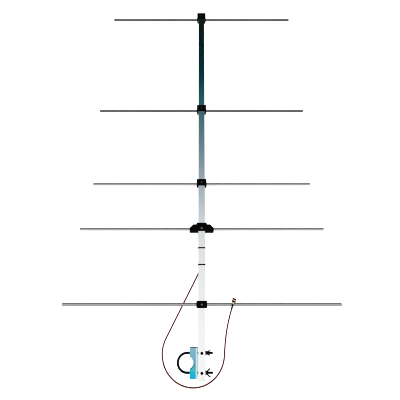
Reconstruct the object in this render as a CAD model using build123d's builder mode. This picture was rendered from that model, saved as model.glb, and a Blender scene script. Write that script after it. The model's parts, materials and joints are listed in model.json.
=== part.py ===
from build123d import *
import os
from math import cos, radians, sin

# Five-element yagi antenna for the 2 m band, millimetres, +Z up.
# The boom points along +Y (the direction of radiation) and the elements lie along X.
# The origin is on the mast's axis, at the height of the boom's centre line.

os.makedirs("parts", exist_ok=True)

# Boom: a square aluminium tube beside the mast
BOOM_X = 54.5
BOOM_SIDE = 25.0
BOOM_WALL = 1.5
BOOM_EDGE_R = 0.5
BOOM_REAR_Y = -54.0
BOOM_CAP_LIP = 1.5
CAP_CORNER_R = 1.2
CAP_CHAMFER = 0.6
FRONT_CAP_DEPTH = 3.0
REAR_CAP_DEPTH = 14.0

# Elements: stations along the boom and overall lengths
REFLECTOR_Y = 197.5
DIPOLE_Y = REFLECTOR_Y + 282.0
ELEMENTS = {
    "reflector": (REFLECTOR_Y, 1030.0),
    "director_1": (REFLECTOR_Y + 467.0, 874.0),
    "director_2": (REFLECTOR_Y + 799.0, 872.0),
    "director_3": (REFLECTOR_Y + 1276.0, 814.0),
}
DIPOLE_LENGTH = 950.0
ELEMENT_R = 5.0
ELEMENT_WALL = 1.0
PLUG_HEAD = 1.2
PLUG_STUB = 8.0

# Element holders: caps that straddle the boom
HOLDER_WIDTH = 38.0
HOLDER_LENGTH = 25.4
HOLDER_TOP = 28.0
HOLDER_BOTTOM = -10.0
HOLDER_SHOULDER_R = 3.0
HOLDER_FOOT_R = 5.5
HOLDER_EDGE_R = 0.8
HOLDER_RELIEF_DEPTH = 6.0
HOLDER_RELIEF_RISE = 7.0
HOLDER_BOSS_R = 7.5
HOLDER_BOSS_RISE = 1.0
HEAD_SEAT_DEPTH = 2.2
HEAD_SEAT_R = 4.6

# Fasteners
SCREW_R = 2.0
SCREW_HEAD_R = 3.8
SCREW_HEAD_HEIGHT = 2.4
HEAD_ROUND = 1.3
RECESS_WIDTH = 1.1
RECESS_LENGTH = 4.4
RECESS_DEPTH = 1.4
SLIM_SCREW_R = 1.45
SLIM_HEAD_R = 2.6
SLIM_HEAD_HEIGHT = 1.8
SLIM_SOCKET_R = 1.2
SLIM_SCREW_REACH = 12.0
HOLDER_SCREW_REACH = 24.3
COVER_SCREW_REACH = 18.0
TERMINAL_SCREW_REACH = 19.0
TIP_TAPER = 0.6

# Clearances, and the small rounding of moulded and turned edges
FIT = 0.05
LOOSE = 0.2
EDGE_R = 0.5

# Sleeves that insulate the elements from the boom
SLEEVE_R = 7.0

# Dipole housing: two shells that meet at the height of the elements
HOUSING_HALF_WIDTH = 46.6
HOUSING_REAR = -10.2
HOUSING_SHOULDER = 0.0
HOUSING_FRONT = 14.0
HOUSING_NOSE = 20.8
HOUSING_CHAMFER_X = 32.2
NOSE_ROOT_X = 20.6
NOSE_TIP_X = 17.8
HOUSING_HEIGHT = 25.0
HOUSING_WALL = 2.5
HOUSING_CORNER_R = 1.2
HOUSING_EDGE_R = 1.6
COVER_SEAT_DEPTH = 1.2
BASE_SEAT_DEPTH = 3.0
GASKET = 1.0
GASKET_INSET = 0.4
GASKET_PLAY = 0.02
DIPOLE_GAP_HALF = 21.0
TERMINAL_X = 28.0
TERMINAL_POST_R = 4.4
LUG_R = 4.0
LUG_THICKNESS = 0.8
LUG_TAIL_WIDTH = 2.6
SHELL_POSTS = [(side * 17.0, y) for side in (-1, 1) for y in (-4.9, 6.6)]
SHELL_POST_R = 3.0
SEAL_WIDTH = 9.8
SEAL_HEIGHT = 7.8
SEAL_BELOW_BOOM = 4.0
SEAL_FLANGE_WIDTH = 12.4
SEAL_FLANGE_HEIGHT = 8.6
SEAL_FLANGE = 1.6
LEAD_R = 1.0
LEAD_X = 17.0
LEAD_Y = 0.85
LEAD_BEND_R = 2.0
LEAD_OVERLAP = 1.5
GROUND_LEAD_END_Y = -3.6

# Coaxial cable: four layers, as radii
CORE_R = 0.47
DIELECTRIC_R = 1.47
BRAID_R = 1.80
JACKET_R = 2.475
LAYER_GAP = 0.03
CABLE_Z = -BOOM_SIDE / 2 - JACKET_R - 0.3
JACKET_START_Y = DIPOLE_Y - 6.5
CABLE_LEAVES_Y = REFLECTOR_Y + 137.6
CABLE_LEAN = 26.9
CABLE_BEND_R = 60.0
LOOP_R = 111.7
LOOP_X = BOOM_X - 30.4
LOOP_Y = REFLECTOR_Y - 169.2
LOOP_END_ANGLE = -4.0
PLUG_X = BOOM_X + 109.0
PLUG_Y = REFLECTOR_Y - 14.8
PLUG_Z = 9.4
PLUG_LEAN = 18.0
PLUG_STRAIGHT = 16.0

# Coupling ring of the plug: its knurled bands lie at these distances beyond the cable's jacket
RING_R = 7.25
KNURL_BANDS = [(8.0, 12.3), (17.0, 21.3)]
KNURL_COUNT = 36
KNURL_WIDTH = 0.5
KNURL_OVERRUN = 0.4

# Cable ties
TIE_STATIONS = {"front": REFLECTOR_Y + 207.5, "rear": REFLECTOR_Y + 144.4}
TIE_WIDTH = 4.8
TIE_THICKNESS = 1.2
TIE_LOCK_WIDTH = 7.2
TIE_LOCK_HEIGHT = 4.4
TIE_LOCK_MARGIN = 1.2
TIE_TAIL = 5.0
TIE_FLAT_HALF = 1.6 * JACKET_R

# Mast clamp: U-bolt, saddle, washers and wing nuts
MAST_R = 25.0
ROD_R = 4.0
LEG_Y = 32.25
BEND_X = BOOM_X - 52.3
LEG_END_X = BOOM_X + 39.0
THREAD_PITCH = 1.25
THREAD_DEPTH = 0.6
THREAD_TURNS = 32
LEG_CHAMFER = 1.0
LEG_HOLE_R = 5.2
WASHER_R = 7.5
WASHER_THICKNESS = 1.6
NUT_BASE_R = 6.8
NUT_TOP_R = 5.6
NUT_HEIGHT = 8.5
# Half of the wings' outline, as (distance along the leg, distance from its axis)
WING_OUTLINE = [(2.6, 4.6), (12.6, 14.0), (16.0, 12.2), (8.0, 4.6)]
WING_THICKNESS = 2.6
WING_TIP_R = 1.6
UPPER_WINGS_TURN = 48.0
SADDLE_GAP = 2.5
SADDLE_DEPTH = 27.5
SADDLE_LENGTH = 100.0
SADDLE_HEIGHT = 28.0
SADDLE_WALL = 3.0
SADDLE_BEND_R = 7.0
SADDLE_MOUTH_R = 4.5
SADDLE_CORNER_R = 1.5

# Derived places
boom_half = BOOM_SIDE / 2
boom_right = BOOM_X + boom_half
boom_left = BOOM_X - boom_half
boom_front_y = ELEMENTS["director_3"][0] + HOLDER_LENGTH / 2 - BOOM_CAP_LIP
boom_length = boom_front_y - BOOM_REAR_Y
stations = [y for y, length in ELEMENTS.values()]
head_seat_z = HOLDER_TOP - HEAD_SEAT_DEPTH
lining_r = BOOM_EDGE_R / 2


def across(y):
    """Plane square to the boom at y, centred on the boom, with its normal along +Y."""
    return Plane(origin=(BOOM_X, y, 0), x_dir=(-1, 0, 0), z_dir=(0, 1, 0))


def save(part, name):
    """Label a finished piece and write its STEP file."""
    part.part.label = name
    export_step(part.part, f"parts/{name}.step")


# ---------------------------------------------------------------- boom

with BuildPart() as boom:
    with BuildSketch(across(BOOM_REAR_Y)):
        RectangleRounded(BOOM_SIDE, BOOM_SIDE, BOOM_EDGE_R)
        bore_side = BOOM_SIDE - 2 * BOOM_WALL
        RectangleRounded(bore_side, bore_side, lining_r, mode=Mode.SUBTRACT)
    extrude(amount=boom_length)
    # Round openings through both side walls: elements, and the U-bolt's legs
    with BuildSketch(Plane.YZ.offset(boom_left - 1)):
        with Locations(*[(y, 0) for y in stations]):
            Circle(SLEEVE_R + FIT)
        with Locations((-LEG_Y, 0), (LEG_Y, 0)):
            Circle(LEG_HOLE_R)
    extrude(amount=BOOM_SIDE + 2, mode=Mode.SUBTRACT)
    # The clamp's second pair of openings, for turning the elements upright
    with BuildSketch(Plane.XY.offset(-boom_half - 1)):
        with Locations((BOOM_X, -LEG_Y), (BOOM_X, LEG_Y)):
            Circle(LEG_HOLE_R)
    extrude(amount=BOOM_SIDE + 2, mode=Mode.SUBTRACT)
    # Screw openings in the top wall
    with BuildSketch(Plane.XY):
        with Locations(*[(BOOM_X, y) for y in stations]):
            Circle(SCREW_R + LOOSE)
        with Locations((BOOM_X, DIPOLE_Y)):
            Circle(SCREW_R + FIT)
    extrude(amount=BOOM_SIDE, mode=Mode.SUBTRACT)
save(boom, "boom")

# The front cap is shallow because the foremost element passes through the boom just behind it
cap_places = (
    ("front", boom_front_y, -1, FRONT_CAP_DEPTH),
    ("rear", BOOM_REAR_Y, 1, REAR_CAP_DEPTH),
)
for end, end_y, inward, depth in cap_places:
    with BuildPart() as cap:
        with BuildSketch(across(end_y)):
            RectangleRounded(BOOM_SIDE, BOOM_SIDE, CAP_CORNER_R)
        extrude(amount=-inward * BOOM_CAP_LIP)
        outer_face = cap.faces().sort_by(Axis.Y)[0 if inward > 0 else -1]
        chamfer(outer_face.edges(), CAP_CHAMFER)
        # Hollow plug inside the tube, with a small gap to its walls
        with BuildSketch(across(end_y)):
            plug_side = BOOM_SIDE - 2 * BOOM_WALL - LOOSE
            RectangleRounded(plug_side, plug_side, lining_r)
            hollow_side = plug_side - 2 * BOOM_WALL
            RectangleRounded(hollow_side, hollow_side, lining_r, mode=Mode.SUBTRACT)
        extrude(amount=inward * depth)
    save(cap, f"boom_{end}_cap")

# ---------------------------------------------------------------- elements

for name, (y, length) in ELEMENTS.items():
    with BuildPart() as element:
        tube_length = length - 2 * PLUG_HEAD
        with BuildSketch(Plane.YZ.offset(BOOM_X - tube_length / 2)):
            with Locations((y, 0)):
                Circle(ELEMENT_R)
                Circle(ELEMENT_R - ELEMENT_WALL, mode=Mode.SUBTRACT)
        extrude(amount=tube_length)
        with BuildSketch(Plane.XY):
            with Locations((BOOM_X, y)):
                Circle(SCREW_R + FIT)
        extrude(amount=2 * ELEMENT_R, mode=Mode.SUBTRACT)
    save(element, f"{name}_element")

half_tube = DIPOLE_LENGTH / 2 - PLUG_HEAD - DIPOLE_GAP_HALF
for name, side in (("left", -1), ("right", 1)):
    with BuildPart() as dipole_half:
        with BuildSketch(Plane.YZ.offset(BOOM_X + side * DIPOLE_GAP_HALF)):
            with Locations((DIPOLE_Y, 0)):
                Circle(ELEMENT_R)
                Circle(ELEMENT_R - ELEMENT_WALL, mode=Mode.SUBTRACT)
        extrude(amount=side * half_tube)
        # The terminal screw passes through both walls
        with BuildSketch(Plane.XY.offset(-2 * ELEMENT_R)):
            with Locations((BOOM_X + side * TERMINAL_X, DIPOLE_Y)):
                Circle(SCREW_R + FIT)
        extrude(amount=4 * ELEMENT_R, mode=Mode.SUBTRACT)
    save(dipole_half, f"dipole_{name}_half")

# Plugs close every outer end of the element tubes
tube_ends = [(y, length / 2 - PLUG_HEAD) for y, length in ELEMENTS.values()]
tube_ends.append((DIPOLE_Y, DIPOLE_LENGTH / 2 - PLUG_HEAD))
with BuildPart() as element_end_plugs:
    for y, reach in tube_ends:
        for side in (-1, 1):
            with BuildSketch(Plane.YZ.offset(BOOM_X + side * reach)):
                with Locations((y, 0)):
                    Circle(ELEMENT_R)
            extrude(amount=side * PLUG_HEAD)
            with BuildSketch(Plane.YZ.offset(BOOM_X + side * reach)):
                with Locations((y, 0)):
                    Circle(ELEMENT_R - ELEMENT_WALL - FIT)
            extrude(amount=-side * PLUG_STUB)
    outer_rims = element_end_plugs.edges().filter_by(GeomType.CIRCLE)
    tips = [BOOM_X + side * (reach + PLUG_HEAD) for y, reach in tube_ends for side in (-1, 1)]
    fillet([e for e in outer_rims if min(abs(e.center().X - tip) for tip in tips) < FIT], EDGE_R)
save(element_end_plugs, "element_end_plugs")

# ---------------------------------------------------------------- holders

for name, (y, length) in ELEMENTS.items():
    with BuildPart() as holder:
        # Inverted U that fits over the boom
        with BuildSketch(across(y - HOLDER_LENGTH / 2)) as section:
            with Locations((0, (HOLDER_TOP + HOLDER_BOTTOM) / 2)):
                Rectangle(HOLDER_WIDTH, HOLDER_TOP - HOLDER_BOTTOM)
            corners = section.vertices().group_by(Axis.Z)
            fillet(corners[-1], HOLDER_SHOULDER_R)
            fillet(corners[0], HOLDER_FOOT_R)
        extrude(amount=HOLDER_LENGTH)
        ends = holder.faces().sort_by(Axis.Y)
        fillet(ends[0].edges() + ends[-1].edges(), HOLDER_EDGE_R)
        with BuildSketch(across(y - HOLDER_LENGTH / 2)):
            slot_top = boom_half + LOOSE
            with Locations((0, (slot_top + HOLDER_BOTTOM) / 2)):
                Rectangle(BOOM_SIDE + 2 * LOOSE, slot_top - HOLDER_BOTTOM)
        extrude(amount=HOLDER_LENGTH, mode=Mode.SUBTRACT)
        # Relief under the front and rear edges of the roof
        for end in (-1, 1):
            with BuildSketch(across(y + end * HOLDER_LENGTH / 2)):
                with Locations((0, slot_top + HOLDER_RELIEF_RISE / 2)):
                    Rectangle(BOOM_SIDE + 2 * LOOSE, HOLDER_RELIEF_RISE)
            extrude(amount=-end * HOLDER_RELIEF_DEPTH, mode=Mode.SUBTRACT)
        # Round bosses where the element leaves the cheeks
        for side in (-1, 1):
            with BuildSketch(Plane.YZ.offset(BOOM_X + side * (HOLDER_WIDTH / 2 - 1))):
                with Locations((y, 0)):
                    Circle(HOLDER_BOSS_R)
            extrude(amount=side * (1 + HOLDER_BOSS_RISE))
        with BuildSketch(Plane.YZ.offset(BOOM_X - HOLDER_WIDTH)):
            with Locations((y, 0)):
                Circle(ELEMENT_R + FIT)
        extrude(amount=2 * HOLDER_WIDTH, mode=Mode.SUBTRACT)
        # Stepped opening for the locking screw
        with Locations((BOOM_X, y, HOLDER_TOP)):
            CounterBoreHole(SCREW_R + LOOSE, HEAD_SEAT_R, HEAD_SEAT_DEPTH, depth=HOLDER_TOP)
    save(holder, f"{name}_holder")

with BuildPart() as element_sleeves:
    for y in stations:
        with BuildSketch(Plane.YZ.offset(boom_left)):
            with Locations((y, 0)):
                Circle(SLEEVE_R)
                Circle(ELEMENT_R + FIT, mode=Mode.SUBTRACT)
        extrude(amount=BOOM_SIDE)
    with BuildSketch(Plane.XY):
        with Locations(*[(BOOM_X, y) for y in stations]):
            Circle(SCREW_R + LOOSE)
    extrude(amount=2 * SLEEVE_R, mode=Mode.SUBTRACT)
save(element_sleeves, "element_sleeves")

# Pan-head screws, from the seat of the head down: a turned profile with a cross recess.
# Each entry is (file name, centres, height of the seat, depth of the tip below it).
screw_sets = [
    ("holder_screws", [(BOOM_X, y) for y in stations], head_seat_z, HOLDER_SCREW_REACH),
    ("dipole_cover_screw", [(BOOM_X, DIPOLE_Y)], HOUSING_HEIGHT - COVER_SEAT_DEPTH, COVER_SCREW_REACH),
    (
        "terminal_screws",
        [(BOOM_X - TERMINAL_X, DIPOLE_Y), (BOOM_X + TERMINAL_X, DIPOLE_Y)],
        ELEMENT_R + LUG_THICKNESS + FIT,
        TERMINAL_SCREW_REACH,
    ),
]
for name, centres, seat_z, tip_depth in screw_sets:
    with BuildPart() as screws:
        for x, y in centres:
            with BuildSketch(Plane(origin=(x, y, seat_z), x_dir=(1, 0, 0), z_dir=(0, -1, 0))):
                with BuildLine():
                    Polyline(
                        (SCREW_HEAD_R - HEAD_ROUND, SCREW_HEAD_HEIGHT),
                        (0, SCREW_HEAD_HEIGHT),
                        (0, -tip_depth),
                        (SCREW_R - TIP_TAPER, -tip_depth),
                        (SCREW_R, -tip_depth + 1),
                        (SCREW_R, 0),
                        (SCREW_HEAD_R, 0),
                        (SCREW_HEAD_R, SCREW_HEAD_HEIGHT - HEAD_ROUND),
                    )
                    TangentArc(
                        (SCREW_HEAD_R, SCREW_HEAD_HEIGHT - HEAD_ROUND),
                        (SCREW_HEAD_R - HEAD_ROUND, SCREW_HEAD_HEIGHT),
                        tangent=(0, 1),
                    )
                make_face()
            revolve(axis=Axis((x, y, 0), (0, 0, 1)))
        with BuildSketch(Plane.XY.offset(seat_z + SCREW_HEAD_HEIGHT)):
            with Locations(*centres):
                Rectangle(RECESS_LENGTH, RECESS_WIDTH)
                Rectangle(RECESS_WIDTH, RECESS_LENGTH)
        extrude(amount=-RECESS_DEPTH, mode=Mode.SUBTRACT)
    save(screws, name)

# ---------------------------------------------------------------- dipole housing

# Right half of the housing's outline, from the rear to the nose, about the dipole's centre
outline_right = [
    (HOUSING_HALF_WIDTH, HOUSING_REAR),
    (HOUSING_HALF_WIDTH, HOUSING_SHOULDER),
    (HOUSING_CHAMFER_X, HOUSING_FRONT),
    (NOSE_ROOT_X, HOUSING_FRONT),
    (NOSE_TIP_X, HOUSING_NOSE),
]
outline = outline_right + [(-x, y) for x, y in reversed(outline_right)]
shell_depth = HOUSING_HEIGHT - GASKET / 2
cavity_depth = shell_depth - HOUSING_WALL
seal_z = -boom_half - SEAL_BELOW_BOOM

for name, up in (("dipole_cover", 1), ("dipole_base", -1)):
    seam = Plane((BOOM_X, DIPOLE_Y, up * GASKET / 2))
    with BuildPart() as shell:
        with BuildSketch(seam) as outer:
            with BuildLine():
                Polyline(*outline, close=True)
            make_face()
            fillet(outer.vertices(), HOUSING_CORNER_R)
        extrude(amount=up * shell_depth)
        far_face = shell.faces().sort_by(Axis.Z)[-1 if up > 0 else 0]
        fillet(far_face.edges(), HOUSING_EDGE_R)
        with BuildSketch(seam):
            with BuildLine():
                Polyline(*outline, close=True)
            make_face()
            offset(amount=-HOUSING_WALL, kind=Kind.INTERSECTION, mode=Mode.REPLACE)
        extrude(amount=up * cavity_depth, mode=Mode.SUBTRACT)
        # Pillars for the screws that hold the two shells together
        with BuildSketch(seam):
            with Locations(*SHELL_POSTS):
                Circle(SHELL_POST_R)
        extrude(amount=up * (shell_depth - HOUSING_WALL / 2))
        # Channel for the boom, and round seats for the two dipole tubes
        with BuildSketch(across(DIPOLE_Y - HOUSING_HALF_WIDTH)):
            Rectangle(BOOM_SIDE + 2 * LOOSE, BOOM_SIDE + 2 * LOOSE)
        extrude(amount=2 * HOUSING_HALF_WIDTH, mode=Mode.SUBTRACT)
        for side in (-1, 1):
            with BuildSketch(Plane.YZ.offset(BOOM_X + side * DIPOLE_GAP_HALF)):
                with Locations((DIPOLE_Y, 0)):
                    Circle(ELEMENT_R + FIT)
            extrude(amount=side * HOUSING_HALF_WIDTH, mode=Mode.SUBTRACT)
        if up > 0:
            # Seat and opening for the screw in the middle, blind openings for the screws from below
            with Locations((BOOM_X, DIPOLE_Y, HOUSING_HEIGHT)):
                CounterBoreHole(SCREW_R + LOOSE, HEAD_SEAT_R, COVER_SEAT_DEPTH, depth=HOUSING_HEIGHT / 2)
            with BuildSketch(seam):
                with Locations(*SHELL_POSTS):
                    Circle(SLIM_SCREW_R + FIT)
            extrude(amount=SLIM_SCREW_REACH + 2, mode=Mode.SUBTRACT)
        else:
            # Stepped openings for the shell screws
            under = Plane(origin=(BOOM_X, DIPOLE_Y, -HOUSING_HEIGHT), x_dir=(1, 0, 0), z_dir=(0, 0, -1))
            with Locations(under):
                with Locations(*[(x, -y) for x, y in SHELL_POSTS]):
                    CounterBoreHole(
                        SLIM_SCREW_R + LOOSE, SLIM_HEAD_R + LOOSE, BASE_SEAT_DEPTH, depth=HOUSING_HEIGHT
                    )
            # Pillars under the dipole tubes, drilled for the terminal screws
            with BuildSketch(Plane.XY.offset(-ELEMENT_R - FIT)):
                with Locations(*[(BOOM_X + s * TERMINAL_X, DIPOLE_Y) for s in (-1, 1)]):
                    Circle(TERMINAL_POST_R)
                    Circle(SCREW_R + FIT, mode=Mode.SUBTRACT)
            extrude(until=Until.NEXT, dir=(0, 0, -1))
            # Window below the boom for the cable's seal
            with BuildSketch(across(DIPOLE_Y + HOUSING_REAR - 1)):
                with Locations((0, seal_z)):
                    Rectangle(SEAL_WIDTH + LOOSE, SEAL_HEIGHT + 2 * LOOSE)
            extrude(amount=HOUSING_WALL + 2, mode=Mode.SUBTRACT)
    save(shell, name)

with BuildPart() as housing_gasket:
    gasket_plane = Plane((BOOM_X, DIPOLE_Y, GASKET_PLAY - GASKET / 2))
    with BuildSketch(gasket_plane) as ring:
        with BuildLine():
            Polyline(*outline, close=True)
        make_face()
        fillet(ring.vertices(), HOUSING_CORNER_R)
        offset(amount=-GASKET_INSET, kind=Kind.INTERSECTION, mode=Mode.REPLACE)
    extrude(amount=GASKET - 2 * GASKET_PLAY)
    with BuildSketch(gasket_plane):
        with BuildLine():
            Polyline(*outline, close=True)
        make_face()
        offset(amount=-HOUSING_WALL, kind=Kind.INTERSECTION, mode=Mode.REPLACE)
        Rectangle(BOOM_SIDE + 2 * LOOSE, 4 * HOUSING_NOSE)
    extrude(amount=GASKET, mode=Mode.SUBTRACT)
    for side in (-1, 1):
        with BuildSketch(Plane.YZ.offset(BOOM_X + side * DIPOLE_GAP_HALF)):
            with Locations((DIPOLE_Y, 0)):
                Circle(ELEMENT_R + FIT)
        extrude(amount=side * HOUSING_HALF_WIDTH, mode=Mode.SUBTRACT)
save(housing_gasket, "housing_gasket")

# Shell screws, driven up from the base into the cover's pillars
with BuildPart() as housing_screws:
    seat_z = BASE_SEAT_DEPTH - HOUSING_HEIGHT
    with BuildSketch(Plane((BOOM_X, DIPOLE_Y, seat_z))):
        with Locations(*SHELL_POSTS):
            Circle(SLIM_SCREW_R)
    extrude(amount=SLIM_SCREW_REACH - seat_z)
    with BuildSketch(Plane((BOOM_X, DIPOLE_Y, seat_z))):
        with Locations(*SHELL_POSTS):
            Circle(SLIM_HEAD_R)
    extrude(amount=-SLIM_HEAD_HEIGHT)
    heads = housing_screws.faces().group_by(Axis.Z)[0]
    fillet(heads.edges(), EDGE_R)
    with BuildSketch(Plane((BOOM_X, DIPOLE_Y, seat_z - SLIM_HEAD_HEIGHT))):
        with Locations(*SHELL_POSTS):
            RegularPolygon(SLIM_SOCKET_R, 6)
    extrude(amount=SLIM_SOCKET_R, mode=Mode.SUBTRACT)
save(housing_screws, "housing_screws")

# Ring lugs under the terminal screws, each with a barrel that points at the boom
lug_z = ELEMENT_R + FIT / 2
with BuildPart() as terminal_lugs:
    for side in (-1, 1):
        lug_x = BOOM_X + side * TERMINAL_X
        with BuildSketch(Plane.XY.offset(lug_z)):
            with Locations((lug_x, DIPOLE_Y)):
                Circle(LUG_R)
            with Locations((lug_x - side * LUG_R, DIPOLE_Y)):
                Rectangle(2 * LUG_R, LUG_TAIL_WIDTH)
            with Locations((lug_x, DIPOLE_Y)):
                Circle(SCREW_R + FIT, mode=Mode.SUBTRACT)
        extrude(amount=LUG_THICKNESS)
save(terminal_lugs, "terminal_lugs")

# Leads from the lugs down beside the boom to the end of the cable
lead_top = lug_z + LUG_THICKNESS + LEAD_R + FIT
lead_ends = {
    "ground_lead": (-1, (-BRAID_R - LEAD_R - FIT, GROUND_LEAD_END_Y)),
    "signal_lead": (1, (CORE_R + LEAD_R + FIT, LEAD_Y)),
}
for name, (side, (end_x, end_y)) in lead_ends.items():
    with BuildPart() as lead:
        with BuildLine() as lead_line:
            start = (BOOM_X + side * (TERMINAL_X - 2 * LUG_R + LEAD_OVERLAP), DIPOLE_Y + LEAD_Y, lead_top)
            FilletPolyline(
                start,
                (BOOM_X + side * LEAD_X, DIPOLE_Y + LEAD_Y, lead_top),
                (BOOM_X + side * LEAD_X, DIPOLE_Y + LEAD_Y, CABLE_Z),
                (BOOM_X + end_x, DIPOLE_Y + end_y, CABLE_Z),
                radius=LEAD_BEND_R,
            )
        with BuildSketch(Plane(origin=start, z_dir=(-side, 0, 0))):
            Circle(LEAD_R)
        sweep()
    save(lead, name)

# Rubber seal where the cable leaves the base
with BuildPart() as cable_seal:
    with BuildSketch(across(DIPOLE_Y + HOUSING_REAR)):
        with Locations((0, seal_z - LOOSE / 2)):
            Rectangle(SEAL_WIDTH, SEAL_HEIGHT)
    extrude(amount=HOUSING_WALL)
    # Flange that bears on the outside of the wall
    with BuildSketch(across(DIPOLE_Y + HOUSING_REAR - FIT)):
        with Locations((0, seal_z - 3 * LOOSE)):
            Rectangle(SEAL_FLANGE_WIDTH, SEAL_FLANGE_HEIGHT)
    extrude(amount=-SEAL_FLANGE)
    with BuildSketch(across(DIPOLE_Y + HOUSING_REAR + FIT)):
        with Locations((0, seal_z - LOOSE / 2)):
            Rectangle(SEAL_WIDTH, SEAL_HEIGHT)
    extrude(amount=-4 * FIT)
    fillet(cable_seal.faces().sort_by(Axis.Y)[0].edges(), EDGE_R)
    with BuildSketch(across(DIPOLE_Y - 2 * HOUSING_NOSE)):
        with Locations((0, CABLE_Z)):
            Circle(JACKET_R + FIT)
    extrude(amount=2 * HOUSING_NOSE, mode=Mode.SUBTRACT)
save(cable_seal, "cable_seal")

# ---------------------------------------------------------------- cable

# The cable leaves the housing, runs under the boom, turns out to the left, makes one loop round
# the clamp and comes back over the right half of the reflector to the plug.
lean = radians(CABLE_LEAN)
lean_dir = Vector(-sin(lean), -cos(lean), 0)
bend_reach = CABLE_BEND_R * (1 - cos(lean)) / sin(lean)
corner = Vector(BOOM_X, CABLE_LEAVES_Y, CABLE_Z)
bend_start = corner + Vector(0, bend_reach, 0)
bend_end = corner + lean_dir * bend_reach
loop_start_angle = 180 - CABLE_LEAN
loop_start = Vector(
    LOOP_X + LOOP_R * cos(radians(loop_start_angle)),
    LOOP_Y + LOOP_R * sin(radians(loop_start_angle)),
    CABLE_Z,
)
loop_end_angle = radians(LOOP_END_ANGLE)
loop_bottom = Vector(LOOP_X, LOOP_Y - LOOP_R, CABLE_Z)
loop_end = Vector(LOOP_X + LOOP_R * cos(loop_end_angle), LOOP_Y + LOOP_R * sin(loop_end_angle), CABLE_Z)
loop_end_dir = Vector(-sin(loop_end_angle), cos(loop_end_angle), 0)
plug_dir = Vector(sin(radians(PLUG_LEAN)), cos(radians(PLUG_LEAN)), 0)
rise_end = Vector(PLUG_X, PLUG_Y, PLUG_Z)
jacket_end = rise_end + plug_dir * PLUG_STRAIGHT

with BuildLine() as cable_line:
    Line(Vector(BOOM_X, JACKET_START_Y, CABLE_Z), bend_start)
    first_bend = TangentArc(bend_start, bend_end, tangent=(0, -1, 0))
    Line(bend_end, loop_start)
    ThreePointArc(loop_start, loop_bottom, loop_end)
    Spline(loop_end, rise_end, tangents=[loop_end_dir, plug_dir])
    Line(rise_end, jacket_end)

# Each layer: inner and outer radius, and how far it is bared beyond the jacket at both ends
layers = {
    "cable_jacket": (BRAID_R + LAYER_GAP, JACKET_R, 0.0),
    "cable_braid": (DIELECTRIC_R + LAYER_GAP, BRAID_R, 2.0),
    "cable_dielectric": (CORE_R + LAYER_GAP, DIELECTRIC_R, 4.5),
    "cable_core": (0.0, CORE_R, 7.5),
}
start_plane = across(JACKET_START_Y)
start_plane.origin = Vector(BOOM_X, JACKET_START_Y, CABLE_Z)
end_plane = Plane(origin=jacket_end, z_dir=plug_dir)
for name, (inner_r, outer_r, bared) in layers.items():
    with BuildPart() as layer:
        with BuildSketch(start_plane) as ring:
            Circle(outer_r)
            if inner_r:
                Circle(inner_r, mode=Mode.SUBTRACT)
        sweep(path=cable_line.wires()[0])
        if bared:
            for end in (start_plane, end_plane):
                with BuildSketch(end):
                    Circle(outer_r)
                    if inner_r:
                        Circle(inner_r, mode=Mode.SUBTRACT)
                extrude(amount=bared)
    save(layer, name)

# Ties: a strap round the boom and the cable, with its lock below
under_cable = CABLE_Z - JACKET_R - 2 * FIT
strap_half = boom_half + FIT
strap = [
    (-strap_half, strap_half),
    (strap_half, strap_half),
    (strap_half, -boom_half),
    (TIE_FLAT_HALF, under_cable),
    (-TIE_FLAT_HALF, under_cable),
    (-strap_half, -boom_half),
]
for name, y in TIE_STATIONS.items():
    with BuildPart() as tie:
        tie_rear = y - TIE_WIDTH / 2
        with BuildSketch(across(tie_rear)):
            with BuildLine():
                Polyline(*strap, close=True)
            make_face()
            offset(amount=TIE_THICKNESS, mode=Mode.REPLACE)
        extrude(amount=TIE_WIDTH)
        with BuildSketch(across(tie_rear)):
            with BuildLine():
                Polyline(*strap, close=True)
            make_face()
        extrude(amount=TIE_WIDTH, mode=Mode.SUBTRACT)
        # Lock and the cut end of the strap
        lock_top = under_cable - TIE_THICKNESS / 2
        with BuildSketch(across(tie_rear - TIE_LOCK_MARGIN)):
            with Locations((0, lock_top - TIE_LOCK_HEIGHT / 2)):
                RectangleRounded(TIE_LOCK_WIDTH, TIE_LOCK_HEIGHT, TIE_THICKNESS / 2)
        extrude(amount=TIE_WIDTH + 2 * TIE_LOCK_MARGIN)
        with BuildSketch(across(tie_rear + LOOSE)):
            with Locations((0, lock_top - TIE_TAIL)):
                Rectangle(TIE_THICKNESS, TIE_TAIL)
        extrude(amount=TIE_WIDTH - 2 * LOOSE)
    save(tie, f"cable_tie_{name}")

# ---------------------------------------------------------------- plug

# Places along the plug are measured from the end of the cable's jacket
plug_plane = Plane(origin=jacket_end, x_dir=(0, 0, 1), z_dir=plug_dir)
turn_axis = Axis(jacket_end, plug_dir)

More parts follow.
